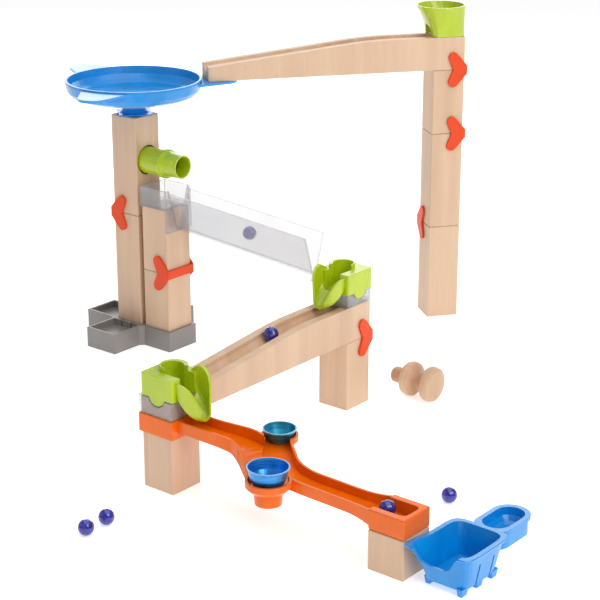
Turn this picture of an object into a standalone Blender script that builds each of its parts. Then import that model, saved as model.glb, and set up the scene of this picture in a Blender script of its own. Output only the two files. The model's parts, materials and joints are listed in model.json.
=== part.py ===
"""Wooden marble run: block towers, grooved ramps, a whirl dish, a clear slide, a bell track and loose pieces.

Sizes are in millimetres and turned into metres where a shape is made. +X runs along the clear slide and
the bell track, +Y runs away from the front of the run, and +Z is up.
"""

import math

import bmesh
import bpy
from mathutils import Matrix, Vector

MM = 0.001
GAP = 0.3  # clearance between pieces that touch

# Driving dimensions
BLOCK = 40.0
MARBLE_R = 8.0
GROOVE_R = 10.5
GROOVE_RISE = 1.5  # the groove's axis lies this far above the ramp's top
RAMP_LENGTH = 320.0
RAMP_HIGH = 40.0
RAMP_LOW = 17.0
RAMP_FLAT = 88.0
SPAN = 280.0  # between the columns under the lower ramp, and under the bell track

# Layout on the floor, before the whole run is centred on the origin
CENTRE = Vector((286.985, -47.298, 0.0))
TOWER_A = Vector((0.0, 0.0, 0.0))
SOCKET_PITCH = 47.0
TOWER_B = TOWER_A + Vector((SOCKET_PITCH, 0.0, 0.0))
COLUMN_C = Vector((328.8, -292.5, 0.0))
COLUMN_E = COLUMN_C + Vector((0.0, SPAN, 0.0))
COLUMN_D = COLUMN_C + Vector((SPAN, 0.0, 0.0))
TOWER_R = Vector((233.3, 307.7, 0.0))
TOWER_R_TURN = math.radians(-36.67)

SIDES = 24

COLOURS = {
    "beech": ((0.74, 0.50, 0.31), 0.55, 0.0),
    "base_grey": ((0.25, 0.23, 0.22), 0.45, 0.0),
    "dish_blue": ((0.01, 0.18, 0.62), 0.25, 0.0),
    "green": ((0.52, 0.62, 0.01), 0.3, 0.0),
    "track_orange": ((0.85, 0.12, 0.01), 0.3, 0.0),
    "clip_orange": ((0.85, 0.06, 0.01), 0.35, 0.0),
    "clear": ((0.85, 0.86, 0.87), 0.08, 0.0),
    "bell_blue": ((0.02, 0.24, 0.6), 0.3, 0.6),
    "bell_teal": ((0.0, 0.27, 0.4), 0.3, 0.6),
    "steel": ((0.6, 0.6, 0.6), 0.3, 1.0),
    "marble_glass": ((0.02, 0.02, 0.3), 0.05, 0.0),
}

for leftover in list(bpy.data.objects):
    bpy.data.objects.remove(leftover)

run = bpy.data.collections.new("marble_run")
cutters = bpy.data.collections.new("cutters")
cutters.hide_render = True
for group in (run, cutters):
    bpy.context.scene.collection.children.link(group)


def material(name):
    found = bpy.data.materials.get(name)
    if found:
        return found
    colour, roughness, metallic = COLOURS[name]
    made = bpy.data.materials.new(name)
    made.use_nodes = True
    shader = made.node_tree.nodes["Principled BSDF"]
    shader.inputs["Base Color"].default_value = (*colour, 1.0)
    shader.inputs["Roughness"].default_value = roughness
    shader.inputs["Metallic"].default_value = metallic
    if name in ("clear", "marble_glass"):
        shader.inputs["Transmission Weight"].default_value = 0.9
    return made


# ---------------------------------------------------------------- shape tools


def new_object(name, mesh, group=cutters):
    made = bpy.data.objects.new(name, mesh)
    group.objects.link(made)
    return made


def outward(shape):
    """Turns every face of a closed shape outwards."""
    shape.normal_update()
    bmesh.ops.recalc_face_normals(shape, faces=shape.faces)
    if shape.calc_volume(signed=True) < 0:
        bmesh.ops.reverse_faces(shape, faces=shape.faces)


def from_bmesh(name, shape):
    """A helper object from a bmesh built in millimetres."""
    outward(shape)
    mesh = bpy.data.meshes.new(name)
    shape.to_mesh(mesh)
    shape.free()
    mesh.transform(Matrix.Scale(MM, 4))
    return new_object(name, mesh)


def box(low, high, bevel=0.0):
    shape = bmesh.new()
    bmesh.ops.create_cube(shape, size=1.0)
    size = Vector(high) - Vector(low)
    middle = (Vector(high) + Vector(low)) / 2
    shape.transform(Matrix.Translation(middle) @ Matrix.Diagonal((*size, 1.0)))
    if bevel:
        bmesh.ops.bevel(
            shape, geom=shape.edges, offset=bevel, segments=1, affect="EDGES", profile=0.5
        )
    return from_bmesh("box", shape)


def cylinder(radius, start, end, sides=SIDES, end_radius=None):
    """A cylinder or cone from the point start to the point end."""
    start, end = Vector(start), Vector(end)
    along = end - start
    shape = bmesh.new()
    bmesh.ops.create_cone(
        shape,
        cap_ends=True,
        segments=sides,
        radius1=radius,
        radius2=radius if end_radius is None else end_radius,
        depth=along.length,
    )
    turn = along.to_track_quat("Z", "Y").to_matrix().to_4x4()
    shape.transform(Matrix.Translation((start + end) / 2) @ turn)
    return from_bmesh("cylinder", shape)


def turned(profile, sides=SIDES):
    """A solid of revolution about Z. The (radius, height) points run down outside and up inside."""
    shape = bmesh.new()
    points = [shape.verts.new((radius, 0.0, height)) for radius, height in profile]
    closed = profile[0][0] > 0 or profile[-1][0] > 0
    pairs = list(zip(points, points[1:])) + ([(points[-1], points[0])] if closed else [])
    for first, second in pairs:
        shape.edges.new((first, second))
    mesh = bpy.data.meshes.new("profile")
    shape.to_mesh(mesh)
    shape.free()
    mesh.transform(Matrix.Scale(MM, 4))
    made = new_object("turned", mesh)
    screw = made.modifiers.new("screw", "SCREW")
    screw.steps = sides
    screw.render_steps = sides
    screw.use_merge_vertices = True
    screw.merge_threshold = 0.00001
    return applied(made)


def applied(obj):
    """The object with its modifiers made part of its mesh, and its faces turned outwards."""
    graph = bpy.context.evaluated_depsgraph_get()
    graph.update()
    mesh = bpy.data.meshes.new_from_object(obj.evaluated_get(graph))
    shape = bmesh.new()
    shape.from_mesh(mesh)
    bmesh.ops.remove_doubles(shape, verts=shape.verts, dist=0.000001)
    outward(shape)
    shape.to_mesh(mesh)
    shape.free()
    obj.modifiers.clear()
    obj.data = mesh
    return obj


def plate(outline, low, high):
    """A flat outline in X and Y, raised from height low to height high."""
    curve = bpy.data.curves.new("outline", "CURVE")
    curve.dimensions = "2D"
    curve.fill_mode = "BOTH"
    curve.extrude = (high - low) / 2 * MM
    spline = curve.splines.new("POLY")
    spline.points.add(len(outline) - 1)
    for point, (x, y) in zip(spline.points, outline):
        point.co = (x * MM, y * MM, 0.0, 1.0)
    spline.use_cyclic_u = True
    return meshed(new_object("plate", curve), Matrix.Translation((0, 0, (low + high) / 2 * MM)))


def swept_rod(points, radius):
    """A round rod along points, used to cut grooves."""
    curve = bpy.data.curves.new("rod", "CURVE")
    curve.dimensions = "3D"
    curve.bevel_depth = radius * MM
    curve.bevel_resolution = 4
    curve.use_fill_caps = True
    spline = curve.splines.new("POLY")
    spline.points.add(len(points) - 1)
    for point, place in zip(spline.points, points):
        point.co = (*(Vector(place) * MM), 1.0)
    return meshed(new_object("rod", curve), Matrix.Identity(4))


def meshed(curve_object, place):
    """A mesh object made from a curve object, moved by the matrix place."""
    graph = bpy.context.evaluated_depsgraph_get()
    graph.update()
    mesh = bpy.data.meshes.new_from_object(curve_object.evaluated_get(graph))
    bpy.data.objects.remove(curve_object)
    shape = bmesh.new()
    shape.from_mesh(mesh)
    bmesh.ops.remove_doubles(shape, verts=shape.verts, dist=0.000001)
    outward(shape)
    shape.to_mesh(mesh)
    shape.free()
    mesh.transform(place)
    return new_object("meshed", mesh)


def loft(sections):
    """A solid through closed sections that all have the same number of points."""
    shape = bmesh.new()
    rings = [[shape.verts.new(point) for point in section] for section in sections]
    for ring, following in zip(rings, rings[1:]):
        for index in range(len(ring)):
            after = (index + 1) % len(ring)
            shape.faces.new((ring[index], ring[after], following[after], following[index]))
    shape.faces.new(rings[0])
    shape.faces.new(rings[-1])
    bmesh.ops.triangulate(shape, faces=shape.faces[:])
    return from_bmesh("loft", shape)


def combined(target, operation, others):
    for other in others:
        step = target.modifiers.new(operation.lower(), "BOOLEAN")
        step.operation = operation
        step.solver = "EXACT"
        step.object = other
        applied(target)
        bpy.data.objects.remove(other)
    return target


def cut(target, *others):
    return combined(target, "DIFFERENCE", others)


def joined(target, *others):
    return combined(target, "UNION", others)


def moved(obj, place=(0, 0, 0), turn=0.0):
    """Moves a helper's mesh by millimetres after turning it about Z."""
    obj.data.transform(
        Matrix.Translation(Vector(place) * MM) @ Matrix.Rotation(turn, 4, "Z")
    )
    return obj


def finished(obj, name, finish, place=(0, 0, 0), turn=0.0):
    """Names a shape, gives it its material and stands it at its place in the run."""
    obj.name = name
    obj.data.name = name
    cutters.objects.unlink(obj)
    run.objects.link(obj)
    obj.data.materials.clear()
    obj.data.materials.append(material(finish))
    obj.data.shade_smooth()
    obj.data.set_sharp_from_angle(angle=math.radians(35))
    obj.rotation_euler = (0.0, 0.0, turn)
    obj.location = (Vector(place) - CENTRE) * MM
    return obj


def arc(centre, radius, start, end, steps):
    """Points on an arc in a plane, with angles in degrees."""
    angles = [math.radians(start + (end - start) * i / steps) for i in range(steps + 1)]
    return [(centre[0] + radius * math.cos(a), centre[1] + radius * math.sin(a)) for a in angles]


def rounded_rectangle(half_x, half_y, radius, steps=3, centre=(0.0, 0.0)):
    corners = ((1, 1, 0), (-1, 1, 90), (-1, -1, 180), (1, -1, 270))
    points = []
    for sign_x, sign_y, start in corners:
        middle = (
            centre[0] + sign_x * (half_x - radius),
            centre[1] + sign_y * (half_y - radius),
        )
        points += arc(middle, radius, start, start + 90, steps)
    return points


# ------------------------------------------------------------- wooden pieces


def block(name, column, low, high, turn=0.0):
    shape = box((-BLOCK / 2, -BLOCK / 2, 0), (BLOCK / 2, BLOCK / 2, high - low - GAP), 0.8)
    return finished(shape, name, "beech", column + Vector((0, 0, low)), turn)


TOWER_A_FLOOR = 2.0
TOWER_A_JOINT = TOWER_A_FLOOR + 160.0
TOWER_A_TOP = TOWER_A_JOINT + 120.0
TOWER_B_FLOOR = 17.0
TOWER_B_JOINT = TOWER_B_FLOOR + 80.0
TOWER_B_TOP = TOWER_B_JOINT + 80.0
TUBE_HEIGHT = 228.0
TUBE_R = 16.2
TUBE_BORE_R = 18.0
DROP_BORE_R = 12.0
RAMP_UNDER_HIGH = 320.0
RAMP_UNDER_LOW = 80.0


def tower_blocks():
    block("tower_a_lower_block", TOWER_A, TOWER_A_FLOOR + GAP, TOWER_A_JOINT)
    half = BLOCK / 2
    height = TOWER_A_TOP - TOWER_A_JOINT - GAP
    upper = box((-half, -half, 0), (half, half, height), 0.8)
    exit_height = TUBE_HEIGHT - TOWER_A_JOINT
    drop = cylinder(DROP_BORE_R, (0, 0, exit_height), (0, 0, height + 5))
    way_out = cylinder(TUBE_BORE_R, (-DROP_BORE_R, 0, exit_height), (half + 5, 0, exit_height))
    cut(upper, drop, way_out)
    finished(upper, "tower_a_upper_block", "beech", TOWER_A + Vector((0, 0, TOWER_A_JOINT)))
    block("tower_b_lower_block", TOWER_B, TOWER_B_FLOOR + GAP, TOWER_B_JOINT)
    block("tower_b_upper_block", TOWER_B, TOWER_B_JOINT, TOWER_B_TOP)
    block("tower_r_bottom_block", TOWER_R, 0, 120, TOWER_R_TURN)
    block("tower_r_middle_block", TOWER_R, 120, 240, TOWER_R_TURN)
    block("tower_r_top_block", TOWER_R, 240, RAMP_UNDER_HIGH, TOWER_R_TURN)
    block("ramp_support_block", COLUMN_E, 0, RAMP_UNDER_LOW)
    block("corner_column_block", COLUMN_C, 0, RAMP_UNDER_LOW)
    block("end_cube", COLUMN_D, 0, BLOCK)


def ramp_top(distance):
    """Height of the ramp's top above its underside, this far from its high end."""
    knee = 60.0
    slope = (RAMP_HIGH - RAMP_LOW) / (RAMP_LENGTH - RAMP_FLAT - knee / 2)
    past = distance - RAMP_FLAT
    if past <= 0:
        return RAMP_HIGH
    if past < knee:
        return RAMP_HIGH - slope * past * past / (2 * knee)
    return RAMP_HIGH - slope * (past - knee / 2)


def ramp(name, place, turn):
    """A ramp whose high end is over the column at place, and whose thin end points to its own -Y."""
    stops = [0.0, RAMP_FLAT, RAMP_FLAT + 20, RAMP_FLAT + 40, RAMP_FLAT + 60, RAMP_LENGTH]
    high_end = BLOCK / 2
    outline = [(high_end - d, ramp_top(d)) for d in stops]
    outline += [(high_end - RAMP_LENGTH, 0.0), (high_end, 0.0)]
    body = plate(outline, -BLOCK / 2, BLOCK / 2)
    stand = Matrix.Rotation(math.radians(90), 4, "Y") @ Matrix.Rotation(math.radians(90), 4, "Z")
    body.data.transform(stand)
    groove_stops = [14.0] + stops[1:-1] + [RAMP_LENGTH + 6]
    path = [(0, high_end - d, ramp_top(min(d, RAMP_LENGTH)) + GROOVE_RISE) for d in groove_stops]
    cut(body, swept_rod(path, GROOVE_R))
    return finished(body, name, "beech", place, turn)


# --------------------------------------------------------------- grey base

CELL_HALF = 23.4
SOCKET_HALF = 20.5
BASE_HEIGHT = 25.0
ARM_REACH = SOCKET_PITCH + CELL_HALF


def cross_base():
    corner = 5.0
    quarter = [
        (ARM_REACH, -CELL_HALF),
        (ARM_REACH, CELL_HALF),
        (CELL_HALF + corner, CELL_HALF),
        (CELL_HALF, CELL_HALF + corner),
    ]
    outline = []
    for index in range(4):
        turn = Matrix.Rotation(math.radians(90 * index), 2)
        outline += [tuple(turn @ Vector(point)) for point in quarter]
    base = plate(outline, 0.0, BASE_HEIGHT)
    arms = ((1, 0), (0, 1), (-1, 0), (0, -1))
    half = SOCKET_HALF
    sockets = [box((-half, -half, TOWER_A_FLOOR), (half, half, BASE_HEIGHT + 5))]
    for x, y in arms:
        middle = Vector((x, y, 0)) * SOCKET_PITCH
        low = Vector((-half, -half, TOWER_B_FLOOR))
        sockets.append(box(middle + low, middle + Vector((half, half, BASE_HEIGHT + 5))))
        under = Vector((-half, -half, -5))
        sockets.append(box(middle + under, middle + Vector((half, half, TOWER_B_FLOOR - 3))))
    slit_low, slit_high = Vector((-1.2, -4, TOWER_B_FLOOR)), Vector((1.2, 4, BASE_HEIGHT + 5))
    for side in (-8.0, 8.0):
        place = Vector((side, -SOCKET_PITCH / 2, 0))
        sockets.append(box(place + slit_low, place + slit_high))
    cut(base, *sockets)
    return finished(base, "cross_base", "base_grey", TOWER_A)


# -------------------------------------------------------------- whirl dish

DISH_R = 81.0
DISH_RIM = 41.5  # above the foot's underside
DISH_TURN = math.radians(-4.0)
RAMP_TONGUE_TOP = RAMP_UNDER_HIGH - GAP


def whirl_dish():
    """A round bowl on a short neck, with three flat tongues. The one under the ramp's end is lower."""
    foot_z = TOWER_A_TOP + GAP
    outer = [(DISH_R, DISH_RIM), (DISH_R + 0.3, DISH_RIM - 2.5), (DISH_R - 1.5, DISH_RIM - 12)]
    outer += [(DISH_R - 6, DISH_RIM - 17.5), (DISH_R - 14, DISH_RIM - 21), (52, 17.5), (30, 14.5)]
    outer += [(17, 12.5), (13.8, 10), (13.5, 7), (15.5, 3.5), (18.5, 1.4), (18.5, 0.6)]
    inner = [(10.5, 0.6), (10.5, 14), (14, 16.2), (30, 17.5), (52, 20.3), (DISH_R - 15, DISH_RIM - 18)]
    inner += [(DISH_R - 8, DISH_RIM - 14.5), (DISH_R - 4, DISH_RIM - 9), (DISH_R - 2.6, DISH_RIM)]
    dish = turned(outer + inner, 64)
    parts = [cut(box((-20, -20, 0), (20, 20, 1.8), 0.5), cylinder(11.4, (0, 0, -2), (0, 0, 8)))]
    tops = (RAMP_TONGUE_TOP - foot_z, DISH_RIM - 1.6, DISH_RIM - 1.6)
    for index, top in enumerate(tops):
        base, tip = DISH_R - 2.4, DISH_R + 25
        side = arc((0, tip), 18, 18, 162, 10)
        outline = [(-33, base - 10), (-30, base - 3), *reversed(side), (30, base - 3), (33, base - 10)]
        outline += [(0, base - 4)]
        tongue = plate(outline, top - 3.2, top)
        parts.append(moved(tongue, turn=math.radians(120 * index)))
    bowl = turned([(0, DISH_RIM + 3), (DISH_R - 2.6, DISH_RIM + 3), *reversed(inner[4:]), (0, 20.3)], 64)
    tongues = joined(parts.pop(1), *(parts.pop(1) for _ in range(2)))
    cut(tongues, bowl)
    joined(dish, tongues, *parts)
    place = TOWER_A + Vector((0, 0, foot_z))
    return finished(dish, "whirl_dish", "dish_blue", place, TOWER_R_TURN + DISH_TURN)


# ------------------------------------------------------------- green pieces


def funnel_cup():
    """A flared cup over the upper ramp's high end, with an arch towards the ramp's thin end."""
    height = 37.0

    def ring(level, inset):
        share = max(level / height, 0.0)
        half = 20.0 - inset
        points = []
        for index in range(SIDES):
            angle = 2 * math.pi * (index + 0.5) / SIDES
            c, s = math.cos(angle), math.sin(angle)
            square = half / max(abs(c), abs(s))
            square = min(square, half * 1.28)
            circle = 31.0 - inset
            reach = square + (circle - square) * share ** 1.6
            lean = -6.0 * share ** 1.5
            points.append((reach * c, reach * s + lean, level))
        return points

    levels = [0.0, 8.0, 16.0, 24.0, 31.0, height]
    cup = loft([ring(level, 0.0) for level in levels])
    bore = loft([ring(level, 2.6) for level in [-2.0, *levels[1:-1], height + 3]])
    arch = cylinder(11.0, (0, -40, 3), (0, 0, 3))
    cut(cup, bore, arch)
    place = TOWER_R + Vector((0, 0, RAMP_UNDER_HIGH + RAMP_HIGH + GAP))
    return finished(cup, "funnel_cup", "green", place, TOWER_R_TURN)


TUBE_IN = 11.0  # the tube's inner end, from the tower's axis
TUBE_OUT = 77.0


def drop_tube():
    """A tube with a wide inner half, a ridge and a narrower mouth."""
    length = TUBE_OUT - TUBE_IN
    r, ridge, mouth = TUBE_R, 38.0, 14.2
    profile = [(mouth, length), (mouth, length - 1.5), (mouth - 0.4, length - 2.5)]
    profile += [(mouth + 0.4, ridge + 9), (r, ridge + 4.5), (r + 1.4, ridge + 4), (r + 1.4, ridge)]
    profile += [(r, ridge - 0.8), (r, 1), (r - 0.8, 0), (r - 2.6, 0), (r - 2.6, ridge + 2)]
    profile += [(mouth - 2.0, ridge + 10), (mouth - 1.8, length)]
    tube = turned(profile, 40)
    tube.data.transform(Matrix.Rotation(math.radians(90), 4, "Y"))
    place = TOWER_A + Vector((TUBE_IN, 0, TUBE_HEIGHT))
    return finished(tube, "drop_tube", "green", place)


CHUTE_HALF = 21.5
CHUTE_HEIGHT = 23.0
UPPER_SPOUT_DROP = 14.4
LOWER_SPOUT_DROP = 20.0
KEY_R = 10.5
# Stops of the spout: distance from the well, half width, share of the drop, and the two cheeks' tops
SPOUT = (
    (14.3, 16.4, 0.0, 18.4, 25.2),
    (22.0, 16.8, 0.0, 20.2, 29.8),
    (23.0, 17.1, 0.28, 20.1, 30.3),
    (27.0, 17.1, 0.5, 19.6, 30.2),
    (32.0, 16.6, 0.76, 18.0, 28.6),
    (37.0, 15.2, 0.92, 14.2, 24.0),
    (41.0, 13.0, 1.0, 8.0, 17.0),
    (44.0, 10.0, 1.0, 0.0, 7.0),
    (46.0, 7.5, 0.96, -6.0, -2.0),
)
SPOUT_WALL = 3.0


def spout(fall, tall_side):
    """Two curved cheeks round a falling channel. The cheek on tall_side, -1 or 1 along Y, is the taller."""
    sections = []
    for x, half, share, low_top, high_top in SPOUT:
        under = 0.6 - share * fall
        tops = (high_top, low_top) if tall_side < 0 else (low_top, high_top)
        section = []
        for inset in (0.0, SPOUT_WALL):
            w = half - inset
            h = min(w, 12.0)
            curve = [(w * math.cos(a), under + inset + h + h * math.sin(a)) for a in
                     (math.radians(180 + 18 * step) for step in range(11))]
            left = (-w, max(tops[0], curve[0][1] + 0.4) - inset * 0.3)
            right = (w, max(tops[1], curve[-1][1] + 0.4) - inset * 0.3)
            side = [left, *curve[1:-1], right]
            section += side if not inset else reversed(side)
        sections.append([(x, y, z) for y, z in section])
    return loft(sections)


def chute(name, place, turn, fall, tall_side, clearance=None):
    """An elbow chute: a well with a raised round wall, which opens towards +X into the spout."""
    half = CHUTE_HALF
    body = plate(rounded_rectangle(half, half, 2.5, 3), 0.0, CHUTE_HEIGHT)
    dome = cylinder(14.5, (-1, tall_side * 5, 4), (-1, tall_side * 5, CHUTE_HEIGHT + 5), 28)
    key = cut(
        cylinder(KEY_R, (0, -half, 2.5), (0, half, 2.5), 20), box((-14, -30, 3.0), (14, 30, 20))
    )
    joined(body, dome)
    joined(body, key)
    joined(body, spout(fall, tall_side))
    well = cylinder(11.2, (-1, tall_side * 3, 3), (-1, tall_side * 3, CHUTE_HEIGHT + 12), 28)
    run_out = [(0, 3.4), (15, 2.8), (23.2, 2.6 - 0.45 * fall), (23.2, 45), (0, 45)]
    channel = plate(run_out, -10.3, 10.3)
    channel.data.transform(Matrix.Rotation(math.radians(90), 4, "X"))
    cut(body, joined(well, channel))
    if clearance:
        cut(body, clearance)
    return finished(body, name, "green", place, turn)


# ------------------------------------------------------------- clear pieces

ADAPTER_HALF = 21.5
UPPER_CHUTE_SHIFT = 0.0
LOWER_CHUTE_SHIFT = 2.0
PLATE_ADAPTER = 15.0
SLEEVE_TOP = RAMP_UNDER_LOW + RAMP_LOW + 2.3


def plate_adapter():
    """A shallow clear tray between the lower ramp's flat top and the chute."""
    outer, inner = ADAPTER_HALF, ADAPTER_HALF - 1.8
    tray = box((-outer, -outer, 0), (outer, outer, PLATE_ADAPTER - GAP), 0.6)
    hollow = box((-inner, -inner, 2), (inner, inner, PLATE_ADAPTER + 5))
    shift = UPPER_CHUTE_SHIFT
    key = PLATE_ADAPTER + 2.5
    notch = cylinder(KEY_R + 0.7, (-30, shift, key), (30, shift, key), 20)
    cut(tray, hollow, notch)
    place = COLUMN_E + Vector((0, 0, RAMP_UNDER_LOW + RAMP_HIGH + GAP))
    return finished(tray, "chute_tray", "clear", place)


def over_ramp_end(floor):
    """The space that the lower ramp's thin end takes above the corner column, with a gap all round."""
    far, near = 30.0, -BLOCK / 2 - GAP
    inner = BLOCK / 2 + GAP
    heights = [RAMP_UNDER_LOW + GAP + ramp_top(SPAN + BLOCK / 2 - y) for y in (far, -BLOCK / 2)]
    rows = ((far, heights[0]), (near, heights[1]))
    sections = []
    for y, top in rows:
        sections.append([(-inner, y, floor), (inner, y, floor), (inner, y, top), (-inner, y, top)])
    return loft(sections)


def sleeve_adapter():
    """A clear sleeve over the lower ramp's thin end, which carries the other chute."""
    low = RAMP_UNDER_LOW + GAP
    outer = ADAPTER_HALF + 0.8
    sleeve = box((-outer, -outer, low), (outer, outer, SLEEVE_TOP), 0.6)
    shift = LOWER_CHUTE_SHIFT
    key = SLEEVE_TOP + 2.5
    notch = cylinder(KEY_R + 0.7, (shift, -30, key), (shift, 30, key), 20)
    cut(sleeve, over_ramp_end(low - 5), notch)
    return finished(sleeve, "chute_sleeve", "clear", COLUMN_C)


SLIDE_COLLAR_HALF = 21.8
SLIDE_COLLAR_HEIGHT = 24.0
SLIDE_WALL = 1.6
SLIDE_TOP = 21.0
SLIDE_END = 276.0
SLIDE_DROP = 16.0
SLIDE_DEPTH = 46.0
SLIDE_TOP_HALF = 18.0
SLIDE_FLOOR_HALF = 2.4


def clear_slide():
    """A collar on the short column, and a deep V trough that falls away from it along +X."""
    half, wall, height = SLIDE_COLLAR_HALF, SLIDE_WALL, SLIDE_COLLAR_HEIGHT
    collar = box((-half, -half, 0), (half, half, height), 0.5)
    face = BLOCK / 2 + GAP
    skirt = box((face, -half, -28), (face + wall, half, 4))
    start = half - 0.6
    length = SLIDE_END - SOCKET_PITCH - start

    def vee(inset, lift, over):
        top = SLIDE_TOP_HALF - inset
        low = SLIDE_FLOOR_HALF + SLIDE_WALL - inset
        points = [(low, -SLIDE_DEPTH + lift), (top, over), (-top, over), (-low, -SLIDE_DEPTH + lift)]
        return points

    def trough(inset, lift, over, low_x, high_x):
        sections = []
        for x in (low_x, high_x):
            fall = SLIDE_TOP - SLIDE_DROP * (x - start) / length
            sections.append([(x, y, fall + z) for y, z in vee(inset, lift, over)])
        return loft(sections)

    outer = trough(0.0, 0.0, 0.0, start, start + length)
    inner = trough(wall, wall, 3.0, start - 6, start + length + 6)
    hollow = box((-half + wall, -half + wall, 2), (half - wall, half - wall, height + 5))
    end = start + length
    fall = SLIDE_TOP - SLIDE_DROP
    lip = box((end - 3.0, -4.0, fall - SLIDE_DEPTH - 7), (end, 4.0, fall - SLIDE_DEPTH + 2))
    joined(collar, skirt, outer, lip)
    cut(collar, hollow, inner)
    place = TOWER_B + Vector((0, 0, TOWER_B_TOP))
    return finished(collar, "clear_slide", "clear", place)


# -------------------------------------------------------------- bell track

FRONT_BELL = Vector((151.0, -29.0, 0.0))
BACK_BELL = Vector((103.0, 45.0, 0.0))
FRONT_PAN = 52.0
BACK_PAN = 60.0
COLLAR_HALF = 22.6


TRACK_WALL = 2.4
TRACK_FLOOR = 2.6
CAP_TOP = 60.0
CAP_FLOOR = 47.0
# Stops of each run of the track: x, y, underside, half width and wall height, from column C
RUN_IN = (
    (21.6, 0, 67.6, 15, 12),
    (50, 0, 66.8, 15, 12),
    (74, 2, 65.6, 16, 13),
    (93, 5, 62.4, 18, 14),
    (110, 0, 58.4, 18, 14),
    (128, -14, 53.4, 16, 12),
    (145, -26, 49.8, 15, 9),
)
RUN_OUT = (
    (102, 45, 57.8, 13, 9),
    (113, 29, 56.6, 15, 12),
    (129, 12, 53.0, 17, 14),
    (147, 3, 49.4, 15.5, 13),
    (170, 0, 47.6, 14.5, 11.5),
    (202, 0, 46.6, 14.5, 11.5),
    (236, 0, 46, 15, 11.5),
    (256, 0, 44, 18, 14.5),
    (264, 0, 42, 20, 17.9),
)


def smooth_stops(stops, steps=3):
    """More stops on a smooth curve through the given ones."""
    made = []
    for index in range(len(stops) - 1):
        before = Vector(stops[max(index - 1, 0)])
        start, end = Vector(stops[index]), Vector(stops[index + 1])
        after = Vector(stops[min(index + 2, len(stops) - 1)])
        for step in range(steps):
            t = step / steps
            bend = (2 * before - 5 * start + 4 * end - after) * t * t
            bend += (3 * start - before - 3 * end + after) * t**3
            made.append(start + ((end - before) * t + bend) / 2)
    return made + [Vector(stops[-1])]


def track_run(stops, inner):
    """A bar along the stops, or with inner set the space inside its walls and over its floor."""
    sections = []
    for index, stop in enumerate(stops):
        x, y, under, half, rise = stop
        along = Vector(stops[min(index + 1, len(stops) - 1)][:2]) - Vector(stops[max(index - 1, 0)][:2])
        across = Vector((-along.y, along.x)).normalized()
        reach = half - TRACK_WALL if inner else half
        low, high = (under + TRACK_FLOOR, under + 40) if inner else (under, under + rise)
        corners = ((-reach, low), (reach, low), (reach, high), (-reach, high))
        sections.append([(x + across.x * r, y + across.y * r, z) for r, z in corners])
    return loft(sections)


def pan(spot, level, radius, boss):
    """A round pan with a hollow boss under it for the bell's screw."""
    outline = [(0, 8), (radius, 8), (radius, 2), (radius - 5, -3), (boss, -4), (boss - 1, -16), (0, -16)]
    return moved(turned(outline, 32), spot + Vector((0, 0, level)))


def bell_track():
    half, inner = COLLAR_HALF, BLOCK / 2 + GAP
    collar = box((-half, -half, 60), (half, half, RAMP_UNDER_LOW - GAP), 0.6)
    collar_way = box((-inner, -inner, 50), (inner, inner, 90))
    cap = box((SPAN - 20, -20, BLOCK + GAP), (SPAN + 20, 20, CAP_TOP), 0.8)
    cap_way = plate(rounded_rectangle(22, 12.4, 6, 4, (SPAN - 7, 0)), CAP_FLOOR, 90)
    run_in, run_out = smooth_stops(RUN_IN), smooth_stops(RUN_OUT)
    pans = ((FRONT_BELL, FRONT_PAN, 22.0, 14.0), (BACK_BELL, BACK_PAN, 18.5, 9.0))
    track = track_run(run_in, False)
    joined(track, track_run(run_out, False), collar, cap, *(pan(*facts) for facts in pans))
    way = track_run([run_in[0] + Vector((3, 0, 0, 0, 0)), *run_in[1:]], True)
    joined(way, track_run(run_out[1:-2], True), cap_way)
    for spot, level, radius, _ in pans:
        foot = spot + Vector((0, 0, level + 0.07))
        well = cylinder(radius - TRACK_WALL, foot, foot + Vector((0, 0, 41)), 32)
        screw_hole = cylinder(1.8, foot - Vector((0, 0, 20)), foot + Vector((0, 0, 5)), 12)
        joined(way, well, screw_hole)
    cut(track, collar_way, way)
    return finished(track, "bell_track", "track_orange", COLUMN_C)


def bell(name, spot, level, rim, foot, height, finish):
    """A thin metal cup bell, open side up, with a rolled rim and a hole for its screw."""
    skin = 1.1
    waist = (rim + foot) / 2 + 0.9
    outer = [(rim, height), (rim + 0.2, height - 0.9), (rim - 0.3, height - 1.9), (rim - 1.1, height - 2.4)]
    outer += [(waist, height * 0.52), (foot + 0.9, 3.2), (foot, 1.2), (foot - 1.2, 0), (2.3, 0)]
    inner = [(2.3, skin), (foot - 1.6, skin), (foot - 0.4, 3.4), (waist - skin, height * 0.52)]
    inner += [(rim - 1.9, height - 2.2), (rim - 1.3, height)]
    made = turned(outer + inner, 40)
    place = COLUMN_C + spot + Vector((0, 0, level + GAP))
    return finished(made, name, finish, place)


def bell_screw(name, spot, level):
    profile = [(0, 4.0), (2.6, 3.4), (3.4, 1.8), (3.4, 1.4), (1.4, 1.4), (1.4, -12), (0, -12)]
    made = turned(profile, 16)
    place = COLUMN_C + spot + Vector((0, 0, level + GAP + 0.3))
    return finished(made, name, "steel", place)


# ------------------------------------------------------------ loose pieces

SCOOP = Vector((662.0, -272.0, 0.0))
SCOOP_MIDDLE = Vector((3.0, -3.0))
SPOUT_ANGLE = math.radians(-129.0)


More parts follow.
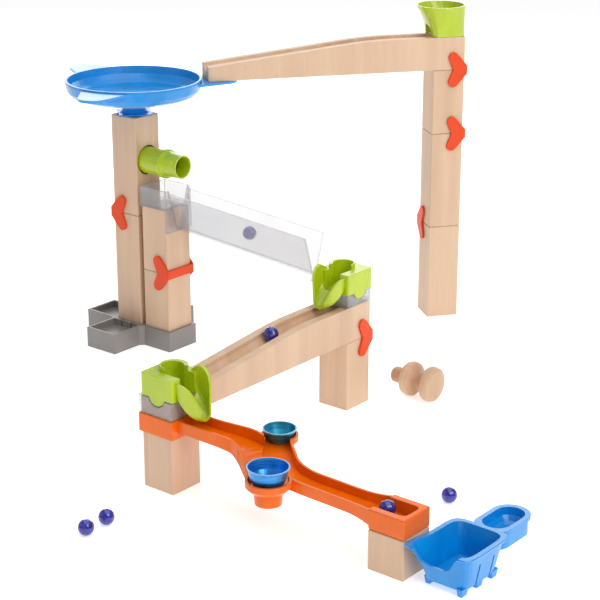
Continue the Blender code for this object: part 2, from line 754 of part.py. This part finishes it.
def scoop_ring(level, inset=0.0, outset=0.0):
    """The bucket's outline at a height: a rounded rectangle with a spout at its -X -Y corner."""
    share = max(level - 5.0, 0.0) / 35.0
    half_x = 21.5 + 7.0 * share - inset + outset
    half_y = 28.0 + 5.0 * share - inset + outset
    points = []
    for index in range(56):
        angle = 2 * math.pi * index / 56
        c, s = math.cos(angle), math.sin(angle)
        reach = (abs(c / half_x) ** 6 + abs(s / half_y) ** 6) ** (-1 / 6)
        off = (angle - SPOUT_ANGLE + math.pi) % (2 * math.pi) - math.pi
        reach += 11.0 * min(share, 1.0) ** 1.5 * math.exp(-((off / 0.27) ** 2))
        points.append((SCOOP_MIDDLE.x + reach * c, SCOOP_MIDDLE.y + reach * s, level))
    return points


def catch_scoop():
    """A bucket with a spout, a low lip at -Y, a rim, grooved walls, legs, and a trough handle at +Y."""
    levels = (6.0, 14.0, 22.0, 30.0, 38.6)
    body = loft([scoop_ring(level) for level in levels])
    rim_steps = ((36.6, 0.3), (37.4, 2.4), (39.0, 2.8), (40.0, 2.2))
    rim = loft([scoop_ring(level, 0, out) for level, out in rim_steps])
    hollow = loft([scoop_ring(level, 2.6) for level in (9.0, 14.0, 22.0, 30.0, 46.0)])
    lip_outline = [(-25, 60), (-24, 37), (-18, 25), (-10, 21.5), (4, 21), (11, 24), (18, 36)]
    lip_outline += [(24, 41), (24, 60)]
    lip = plate(lip_outline, 20.0, 70.0)
    lip.data.transform(Matrix.Rotation(math.radians(90), 4, "X"))
    legs = []
    for x, y in ((21, -27), (21.5, -4), (22, 19), (-15.5, -24), (-16, -2), (-16, 20)):
        corners = ((-3, -5), (3, -5), (3, 5), (-3, 5))
        foot = [(x + 0.72 * a, y + 0.72 * b, 0) for a, b in corners]
        legs.append(loft([foot, [(x + a, y + b, 7.8) for a, b in corners]]))
    grooves = []
    for y in (-11.5, 10.5):
        sides = []
        for z in (-1.0, 27.0):
            wall = SCOOP_MIDDLE.x + 21.5 + 7.0 * (z - 5.0) / 35.0
            near, far = wall - 1.1, wall + 9
            sides.append([(near, y - 1.1, z), (far, y - 1.1, z), (far, y + 1.1, z), (near, y + 1.1, z)])
        grooves.append(loft(sides))
    middle = (8, 55.5)
    handle = plate(rounded_rectangle(16.5, 30, 16.0, 7, middle), 21.3, 38.9)
    brim = plate(rounded_rectangle(18.5, 32, 18.0, 7, middle), 36.2, 39.6)
    steps = ((24.6, 6.5), (27.0, 10.0), (32.0, 12.8), (46.0, 14.2))
    dent_rings = []
    for z, r in steps:
        ring = rounded_rectangle(r, 11 + r, r - 0.2, 7, (8, 57.5))
        dent_rings.append([(x, y, z) for x, y in ring])
    dent = loft(dent_rings)
    joined(body, rim, handle, brim, *legs)
    cut(body, joined(hollow, lip), dent, *grooves)
    return finished(body, "catch_scoop", "dish_blue", SCOOP)


KNOB = Vector((384.0, 52.0, 20.0))


def wooden_knob():
    profile = [(0, 26), (16, 26), (19, 24.5), (20, 21), (20, 17), (18.5, 14.5), (12, 12.5), (10, 8), (11, 3)]
    profile += [(15, 0), (19, -3), (20, -8), (18.5, -13), (13, -16.5), (9.2, -17.5)]
    profile += [(9, -30), (7.5, -32), (0, -32)]
    made = turned(profile, 32)
    made.data.transform(Matrix.Rotation(math.radians(90), 4, "Y"))
    return finished(made, "wooden_knob", "beech", KNOB)


MARBLES = {
    "marble_slide": Vector((180.0, 0.0, 166.7)),
    "marble_ramp": COLUMN_E + Vector((0, -125.4, 0)),
    "marble_track": COLUMN_C + Vector((267.0, 0, CAP_FLOOR + MARBLE_R + GAP)),
    "marble_floor_1": Vector((343.3, -426.1, MARBLE_R)),
    "marble_floor_2": Vector((342.3, -398.3, MARBLE_R)),
    "marble_floor_3": Vector((568.1, -151.8, MARBLE_R)),
}


def marble(name, place):
    shape = bmesh.new()
    bmesh.ops.create_uvsphere(shape, u_segments=20, v_segments=12, radius=MARBLE_R)
    return finished(from_bmesh(name, shape), name, "marble_glass", place)


def marbles():
    along = BLOCK / 2 + 125.4
    height = RAMP_UNDER_LOW + ramp_top(along) + GROOVE_RISE - GROOVE_R + MARBLE_R + 0.6
    MARBLES["marble_ramp"].z = height
    for name, place in MARBLES.items():
        marble(name, place)


CLIP_HALF = BLOCK / 2 + GAP
CLIP_THICK = 2.6


def clip(name, column, level, turn):
    """Two bent cheeks on opposite faces of a joint, held together by a band across the +Y face."""
    tip = Vector((5.2, 15.2))
    lobe = 6.3
    edge = CLIP_HALF + CLIP_THICK - 0.4
    upper = arc(tip, lobe, 42, 205, 9)
    lower = [(y, -z) for y, z in reversed(upper)]
    outline = [(edge, -5.4), (edge, 5.4), *upper, (5.0, 0.0), *lower]
    outer = CLIP_HALF + CLIP_THICK
    stand = Matrix.Rotation(math.radians(90), 4, "Y") @ Matrix.Rotation(math.radians(90), 4, "Z")
    cheeks = []
    for low in (-outer, CLIP_HALF):
        cheek = plate(outline, low, low + CLIP_THICK)
        cheek.data.transform(stand)
        cheeks.append(cheek)
    flush = outer - 0.4
    band = box((-flush, CLIP_HALF + 0.05, -5.2), (flush, outer, 5.2))
    joined(band, *cheeks)
    return finished(band, name, "clip_orange", column + Vector((0, 0, level)), turn)


def clips():
    quarter = math.radians(90)
    clip("clip_ramp_end", TOWER_R, RAMP_UNDER_HIGH, TOWER_R_TURN)
    clip("clip_tower_r_upper", TOWER_R, 240, TOWER_R_TURN)
    clip("clip_tower_r_lower", TOWER_R, 120, TOWER_R_TURN + quarter)
    clip("clip_tower_a", TOWER_A, TOWER_A_JOINT, quarter)
    clip("clip_tower_b", TOWER_B, TOWER_B_JOINT, -quarter)
    clip("clip_lower_ramp", COLUMN_E, RAMP_UNDER_LOW, 0.0)


def main():
    cross_base()
    tower_blocks()
    ramp("upper_ramp", TOWER_R + Vector((0, 0, RAMP_UNDER_HIGH)), TOWER_R_TURN)
    ramp("lower_ramp", COLUMN_E + Vector((0, 0, RAMP_UNDER_LOW)), 0.0)
    whirl_dish()
    funnel_cup()
    drop_tube()
    clear_slide()
    plate_adapter()
    sleeve_adapter()
    tray_top = RAMP_UNDER_LOW + RAMP_HIGH + GAP + PLATE_ADAPTER
    upper_place = COLUMN_E + Vector((0, UPPER_CHUTE_SHIFT, tray_top))
    chute("upper_chute", upper_place, math.radians(-90), UPPER_SPOUT_DROP, -1)
    lower_place = Vector((LOWER_CHUTE_SHIFT, 0, SLEEVE_TOP + GAP))
    clearance = moved(over_ramp_end(RAMP_UNDER_LOW), -lower_place)
    chute("lower_chute", COLUMN_C + lower_place, 0.0, LOWER_SPOUT_DROP, 1, clearance)
    bell_track()
    bell("front_bell", FRONT_BELL, FRONT_PAN, 20.5, 13.5, 21.0, "bell_blue")
    bell("back_bell", BACK_BELL, BACK_PAN, 16.8, 10.0, 14.0, "bell_teal")
    bell_screw("front_bell_screw", FRONT_BELL, FRONT_PAN)
    bell_screw("back_bell_screw", BACK_BELL, BACK_PAN)
    catch_scoop()
    wooden_knob()
    marbles()
    clips()


main()
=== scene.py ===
"""Looks for the wooden marble run: materials for every CAD node, floor, lights and camera."""

import json
import math

import bmesh
import bpy
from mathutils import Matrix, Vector


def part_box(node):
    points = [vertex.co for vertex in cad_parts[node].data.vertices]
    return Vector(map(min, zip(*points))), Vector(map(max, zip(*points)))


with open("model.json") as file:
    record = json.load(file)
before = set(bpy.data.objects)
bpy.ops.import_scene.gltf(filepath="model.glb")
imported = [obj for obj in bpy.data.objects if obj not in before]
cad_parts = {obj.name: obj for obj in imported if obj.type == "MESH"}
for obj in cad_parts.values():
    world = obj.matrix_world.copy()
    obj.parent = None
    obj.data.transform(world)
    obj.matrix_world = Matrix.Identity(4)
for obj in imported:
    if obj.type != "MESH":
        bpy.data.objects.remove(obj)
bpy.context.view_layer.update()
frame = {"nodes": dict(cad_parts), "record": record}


# ------------------------------------------------------------------ materials


class Nodes:
    """A short way to write a material's node tree."""

    def __init__(self, name):
        self.material = bpy.data.materials.new(name)
        self.material.use_nodes = True
        self.tree = self.material.node_tree
        self.shader = self.tree.nodes["Principled BSDF"]
        self.place = self.add("ShaderNodeTexCoord").outputs["Object"]

    def add(self, kind, inputs=None, **settings):
        made = self.tree.nodes.new(kind)
        for key, value in settings.items():
            setattr(made, key, value)
        for key, value in (inputs or {}).items():
            socket = made.inputs[key]
            if isinstance(value, bpy.types.NodeSocket):
                self.tree.links.new(value, socket)
            else:
                socket.default_value = value
        return made

    def set(self, **values):
        for key, value in values.items():
            socket = self.shader.inputs[key.replace("_", " ")]
            if isinstance(value, bpy.types.NodeSocket):
                self.tree.links.new(value, socket)
            else:
                socket.default_value = value

    def mapped(self, scale, turn=(0, 0, 0), shift=(0, 0, 0)):
        inputs = {"Vector": self.place, "Scale": scale, "Rotation": turn, "Location": shift}
        return self.add("ShaderNodeMapping", inputs).outputs["Vector"]

    def noise(self, vector, scale, detail=3.0, rough=0.5, distort=0.0):
        inputs = {"Vector": vector, "Scale": scale, "Detail": detail, "Roughness": rough}
        inputs["Distortion"] = distort
        return self.add("ShaderNodeTexNoise", inputs).outputs["Fac"]

    def ramp(self, value, stops):
        made = self.add("ShaderNodeValToRGB", {"Fac": value})
        band = made.color_ramp
        while len(band.elements) < len(stops):
            band.elements.new(0.5)
        for element, (place, colour) in zip(band.elements, stops):
            element.position = place
            element.color = (*colour, 1.0) if len(colour) == 3 else colour
        return made.outputs["Color"]

    def grey(self, value, low, high, start=0.0, end=1.0):
        inputs = {"Value": value, "From Min": start, "From Max": end, "To Min": low, "To Max": high}
        return self.add("ShaderNodeMapRange", inputs, clamp=True).outputs["Result"]

    def mix(self, factor, first, second, blend="MIX"):
        made = self.add("ShaderNodeMix", data_type="RGBA", blend_type=blend)
        sockets = (made.inputs[0], made.inputs[6], made.inputs[7])
        for socket, value in zip(sockets, (factor, first, second)):
            if isinstance(value, bpy.types.NodeSocket):
                self.tree.links.new(value, socket)
            elif isinstance(value, tuple):
                socket.default_value = (*value, 1.0)
            else:
                socket.default_value = value
        return made.outputs[2]

    def bump(self, height, strength, distance=0.001, under=None):
        inputs = {"Height": height, "Strength": strength, "Distance": distance}
        if under is not None:
            inputs["Normal"] = under
        return self.add("ShaderNodeBump", inputs).outputs["Normal"]


def near_edge(n, width):
    """1 on a sharp edge, falling to 0 at about the width away from it."""
    rounded = n.add("ShaderNodeBevel", {"Radius": width}).outputs["Normal"]
    flat = n.add("ShaderNodeNewGeometry").outputs["Normal"]
    along = n.add("ShaderNodeVectorMath", {0: rounded, 1: flat}, operation="DOT_PRODUCT")
    return n.grey(along.outputs["Value"], 1.0, 0.0, 0.78, 0.99)


def wood(name, turn, seed):
    """Pale beech with its grain along the local Z of the turned coordinates."""
    n = Nodes(name)
    shift = (seed * 0.37, seed * 0.73, seed * 0.19)
    along = n.mapped((1, 1, 0.055), turn, shift)
    rings = n.noise(along, 34, 4, 0.55, 0.6)
    streaks = n.noise(n.mapped((1, 1, 0.02), turn, shift), 620, 3, 0.6)
    patch = n.noise(n.mapped((1, 1, 0.4), turn, shift), 9, 2, 0.5)
    tone = n.ramp(
        rings,
        [
            (0.28, (0.44, 0.245, 0.135)),
            (0.45, (0.55, 0.33, 0.195)),
            (0.56, (0.61, 0.385, 0.24)),
            (0.75, (0.66, 0.44, 0.29)),
        ],
    )
    tone = n.mix(n.grey(streaks, 0.0, 0.5, 0.42, 0.75), tone, (0.48, 0.285, 0.16))
    tone = n.mix(n.grey(patch, 0.0, 0.35, 0.4, 0.8), tone, (0.66, 0.42, 0.27))
    flecks = n.add(
        "ShaderNodeTexVoronoi", {"Vector": n.mapped((1, 1, 0.16), turn, shift), "Scale": 520}
    ).outputs["Distance"]
    tone = n.mix(n.grey(flecks, 0.6, 0.0, 0.05, 0.24), tone, (0.44, 0.25, 0.13))
    # Painted highlight: convex edges are mixed towards a paler wood, as if their rounding caught the
    # light.
    edge = n.add("ShaderNodeNewGeometry").outputs["Pointiness"]
    tone = n.mix(n.grey(edge, 0.0, 0.35, 0.51, 0.58), tone, (0.78, 0.60, 0.43))
    n.set(Base_Color=tone, Roughness=n.grey(streaks, 0.40, 0.58))
    n.set(Normal=n.bump(streaks, 0.22, 0.0004, n.bump(rings, 0.1, 0.0008)))
    n.set(Coat_Weight=0.12, Coat_Roughness=0.35)
    return n.material


def plastic(name, colour, gloss=0.22, seed=0, fine=0.10, coat=0.35, shine=0.5):
    """Moulded plastic with slight cloudiness, fine surface texture, small scuffs and a painted
    highlight on its sharp edges.
    """
    n = Nodes(name)
    shift = (seed * 0.31, seed * 0.17, seed * 0.53)
    cloud = n.noise(n.mapped((1, 1, 1), shift=shift), 24, 3, 0.6)
    grain = n.noise(n.mapped((1, 1, 1), shift=shift), 1900, 2, 0.5)
    scuff = n.noise(n.mapped((1, 0.08, 1), (0.4, 0.2, 0.9), shift), 420, 4, 0.7, 0.3)
    deep = tuple(c * 0.86 for c in colour)
    light = tuple(min(c * 1.07, 1.0) for c in colour)
    tone = n.mix(n.grey(cloud, 0.0, 1.0, 0.3, 0.7), deep, light)
    # A paler colour: real wear where the scuffs are, painted highlight on the sharp edges.
    worn_and_highlight = tuple(min(c * 0.95 + 0.035, 1.0) for c in colour)
    tone = n.mix(n.grey(scuff, 0.0, 0.22, 0.66, 0.80), tone, worn_and_highlight)
    # Painted highlight: sharp convex edges are mixed towards the paler colour.
    edge = n.add("ShaderNodeNewGeometry").outputs["Pointiness"]
    tone = n.mix(n.grey(edge, 0.0, 0.4, 0.52, 0.60), tone, worn_and_highlight)
    cloudy = n.grey(cloud, gloss * 0.85, gloss * 1.2, 0.3, 0.7)
    rubbed = n.grey(scuff, 0.0, 0.16, 0.6, 0.8)
    rough = n.add("ShaderNodeMath", {0: cloudy, 1: rubbed}, operation="ADD")
    n.set(Base_Color=tone, Roughness=rough.outputs[0])
    soft_edge = n.add("ShaderNodeBevel", {"Radius": 0.0007}).outputs["Normal"]
    n.set(Normal=n.bump(grain, fine, 0.0002, n.bump(cloud, 0.05, 0.002, soft_edge)))
    n.set(Coat_Weight=coat, Coat_Roughness=0.12, IOR=1.5)
    n.set(Specular_IOR_Level=shine)
    return n.material


def clear_plastic(name, seed):
    """Thin clear moulded plastic: light grey, more solid where it is seen edge on, with painted
    shade along its sharp edges.
    """
    n = Nodes(name)
    cloud = n.noise(n.mapped((1, 1, 1), shift=(seed, seed, 0)), 30, 2, 0.5)
    scuff = n.noise(n.mapped((0.1, 1, 1), (0.2, 0.5, 0.3), (seed, 0, 0)), 380, 4, 0.7, 0.2)
    tone = n.mix(n.grey(cloud, 0.0, 1.0, 0.3, 0.7), (0.44, 0.43, 0.455), (0.54, 0.53, 0.55))
    facing = n.add("ShaderNodeLayerWeight", {"Blend": 0.35}).outputs["Facing"]
    edge = near_edge(n, 0.0014)
    # Painted shade: sharp edges are darkened, standing in for light bent inside the edge's
    # thickness.
    tone = n.mix(n.grey(edge, 0.0, 0.75), tone, (0.15, 0.14, 0.15))
    solid = n.add(
        "ShaderNodeMath",
        {0: n.grey(facing, 0.27, 0.85, 0.3, 0.98), 1: n.grey(edge, 0.0, 0.6)},
        operation="ADD",
        use_clamp=True,
    )
    n.set(Base_Color=tone, Roughness=n.grey(scuff, 0.06, 0.22, 0.55, 0.8), Alpha=solid.outputs[0])
    n.set(Normal=n.bump(cloud, 0.10, 0.002, n.bump(scuff, 0.03, 0.0003)))
    n.set(IOR=1.49, Coat_Weight=0.3, Coat_Roughness=0.08)
    return n.material


def marble_glass(name, seed):
    """Deep blue glass with paler swirls and fine pits."""
    n = Nodes(name)
    turned = n.mapped((1, 1, 1), (0.5, 0.2 * seed, 0.1), (seed * 0.4, 0, seed * 0.2))
    swirl = n.noise(turned, 90, 3, 0.5, 2.2)
    pits = n.noise(n.mapped((1, 1, 1), shift=(seed, 0, 0)), 800, 2, 0.5)
    blues = [(0.3, (0.004, 0.004, 0.20)), (0.5, (0.012, 0.012, 0.36)), (0.7, (0.05, 0.06, 0.62))]
    tone = n.ramp(swirl, blues)
    n.set(Base_Color=tone, Roughness=n.grey(pits, 0.02, 0.09, 0.5, 0.8))
    n.set(Normal=n.bump(pits, 0.02, 0.0002))
    n.set(Transmission_Weight=0.45, IOR=1.52, Coat_Weight=0.6, Coat_Roughness=0.03)
    return n.material


def bell_metal(name, colour, seed):
    """Thin metal under a tinted lacquer, with spun rings and a rim made paler by a painted highlight
    on its convex edges.
    """
    n = Nodes(name)
    spin = n.noise(n.mapped((1, 1, 14), shift=(seed, 0, 0)), 60, 3, 0.6)
    flake = n.noise(n.mapped((1, 1, 1), shift=(seed, 0, 0)), 2600, 2, 0.5)
    deep = tuple(c * 0.72 for c in colour)
    light = tuple(min(c * 1.25 + 0.02, 1.0) for c in colour)
    tone = n.mix(n.grey(spin, 0.0, 1.0, 0.35, 0.68), deep, light)
    # Painted highlight: convex edges, the rim among them, are mixed towards a pale blue.
    edge = n.add("ShaderNodeNewGeometry").outputs["Pointiness"]
    tone = n.mix(n.grey(edge, 0.0, 0.5, 0.53, 0.62), tone, (0.45, 0.66, 0.80))
    n.set(Base_Color=tone, Roughness=n.grey(flake, 0.24, 0.40), Metallic=0.72)
    n.set(Normal=n.bump(flake, 0.05, 0.0001, n.bump(spin, 0.03, 0.0004)))
    n.set(Coat_Weight=0.5, Coat_Roughness=0.15)
    return n.material


def steel(name):
    """Plain brushed steel."""
    n = Nodes(name)
    brush = n.noise(n.mapped((1, 1, 20)), 200, 3, 0.6)
    tone = n.mix(n.grey(brush, 0.0, 1.0, 0.3, 0.7), (0.42, 0.42, 0.43), (0.66, 0.66, 0.67))
    n.set(Base_Color=tone, Roughness=n.grey(brush, 0.2, 0.4), Metallic=1.0)
    n.set(Normal=n.bump(brush, 0.05, 0.0002))
    return n.material


def floor_material():
    """A pale floor that glows a little, so that it stays pale far from the lamps."""
    n = Nodes("pale_floor")
    cloud = n.noise(n.mapped((1, 1, 1)), 3, 2, 0.5)
    tone = n.mix(cloud, (0.90, 0.90, 0.90), (0.94, 0.94, 0.94))
    n.set(Base_Color=tone, Roughness=0.6, Emission_Color=(1.0, 1.0, 1.0, 1.0), Emission_Strength=0.5)
    return n.material


# The turn of each piece's grain. The blocks' own grain stands upright.
UPPER_RAMP_TURN = math.radians(-36.67)
GRAIN = {
    "upper_ramp": (math.radians(90), 0.0, UPPER_RAMP_TURN),
    "lower_ramp": (math.radians(90), 0.0, 0.0),
    "wooden_knob": (0.0, math.radians(90), 0.0),
}
PLASTICS = {
    "base_grey": dict(colour=(0.235, 0.215, 0.205), gloss=0.42, fine=0.18, coat=0.1),
    "dish_blue": dict(colour=(0.0, 0.26, 0.70), gloss=0.24, coat=0.3),
    "green": dict(colour=(0.45, 0.58, 0.004), gloss=0.26, coat=0.25),
    "track_orange": dict(colour=(0.84, 0.142, 0.0), gloss=0.24, coat=0.08, shine=0.25),
    "clip_orange": dict(colour=(0.78, 0.055, 0.0), gloss=0.34, coat=0.02, shine=0.2),
}


def finish_for(node, slot, seed):
    """The material of a CAD node, from the record's slot."""
    if slot == "beech":
        return wood(node + "_beech", GRAIN.get(node, (0.0, 0.0, 0.0)), seed + 1)
    if slot in PLASTICS:
        return plastic(node + "_" + slot, seed=seed, **PLASTICS[slot])
    if slot == "clear":
        return clear_plastic(node + "_clear", seed)
    if slot == "marble_glass":
        return marble_glass(node + "_glass", seed)
    if slot == "bell_blue":
        return bell_metal(node + "_blue", (0.01, 0.27, 0.72), seed)
    if slot == "bell_teal":
        return bell_metal(node + "_teal", (0.0, 0.30, 0.50), seed)
    return steel(node + "_steel")


for seed, part in enumerate(frame["record"]["subparts"]):
    finish = finish_for(part["node"], part["material_slot"], seed)
    node = frame["nodes"][part["node"]]
    for material_slot in node.material_slots:
        material_slot.material = finish
    if not node.material_slots:
        node.data.materials.append(finish)


# ------------------------------------------------------- floor, light, camera

FLOOR_HALF = 30.0  # metres
# Across from the middle of the tower under the dish, and up from the floor
CAMERA_FROM_TOWER_A = Vector((1.4067, -1.4090, 0.7277))
CAMERA_TILT = math.radians(71.01)
CAMERA_HEADING = math.radians(39.26)

mesh = bpy.data.meshes.new("floor")
shape = bmesh.new()
bmesh.ops.create_grid(shape, x_segments=2, y_segments=2, size=FLOOR_HALF)
shape.to_mesh(mesh)
shape.free()
floor = bpy.data.objects.new("floor", mesh)
bpy.context.scene.collection.objects.link(floor)
floor.data.materials.append(floor_material())


def area_light(name, place, target, size, power):
    """A white rectangular softbox that points at the target."""
    data = bpy.data.lights.new(name, "AREA")
    data.shape = "RECTANGLE"
    data.size, data.size_y = size
    data.energy = power
    light = bpy.data.objects.new(name, data)
    light.location = place
    light.rotation_euler = (Vector(target) - Vector(place)).to_track_quat("-Z", "Y").to_euler()
    bpy.context.scene.collection.objects.link(light)


area_light("top_softbox", (0.1, 0.2, 2.4), (0, 0, 0.1), (2.4, 2.4), 24)
area_light("key_right", (2.0, -0.5, 1.5), (0, 0, 0.15), (1.4, 1.4), 25)
area_light("back_panel", (-1.3, 1.9, 1.0), (0, 0, 0.2), (2.6, 1.6), 24)
area_light("left_fill", (-1.6, -1.6, 1.1), (0, 0, 0.15), (1.6, 1.2), 2.5)

world = bpy.data.worlds.new("studio")
world.use_nodes = True
world.node_tree.nodes["Background"].inputs["Color"].default_value = (1.0, 1.0, 1.0, 1.0)
world.node_tree.nodes["Background"].inputs["Strength"].default_value = 0.42
bpy.context.scene.world = world
bpy.context.scene.view_settings.view_transform = "Standard"

lens = bpy.data.cameras.new("camera")
lens.lens = 101.4
lens.sensor_width = 36.0
lens.clip_end = 50
camera = bpy.data.objects.new("camera", lens)
base_low, base_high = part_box("tower_a_lower_block")
tower_a = (Vector(base_low) + Vector(base_high)) / 2
camera.location = Vector((tower_a.x, tower_a.y, 0.0)) + CAMERA_FROM_TOWER_A
camera.rotation_euler = (CAMERA_TILT, 0.0, CAMERA_HEADING)
bpy.context.scene.collection.objects.link(camera)
bpy.context.scene.camera = camera
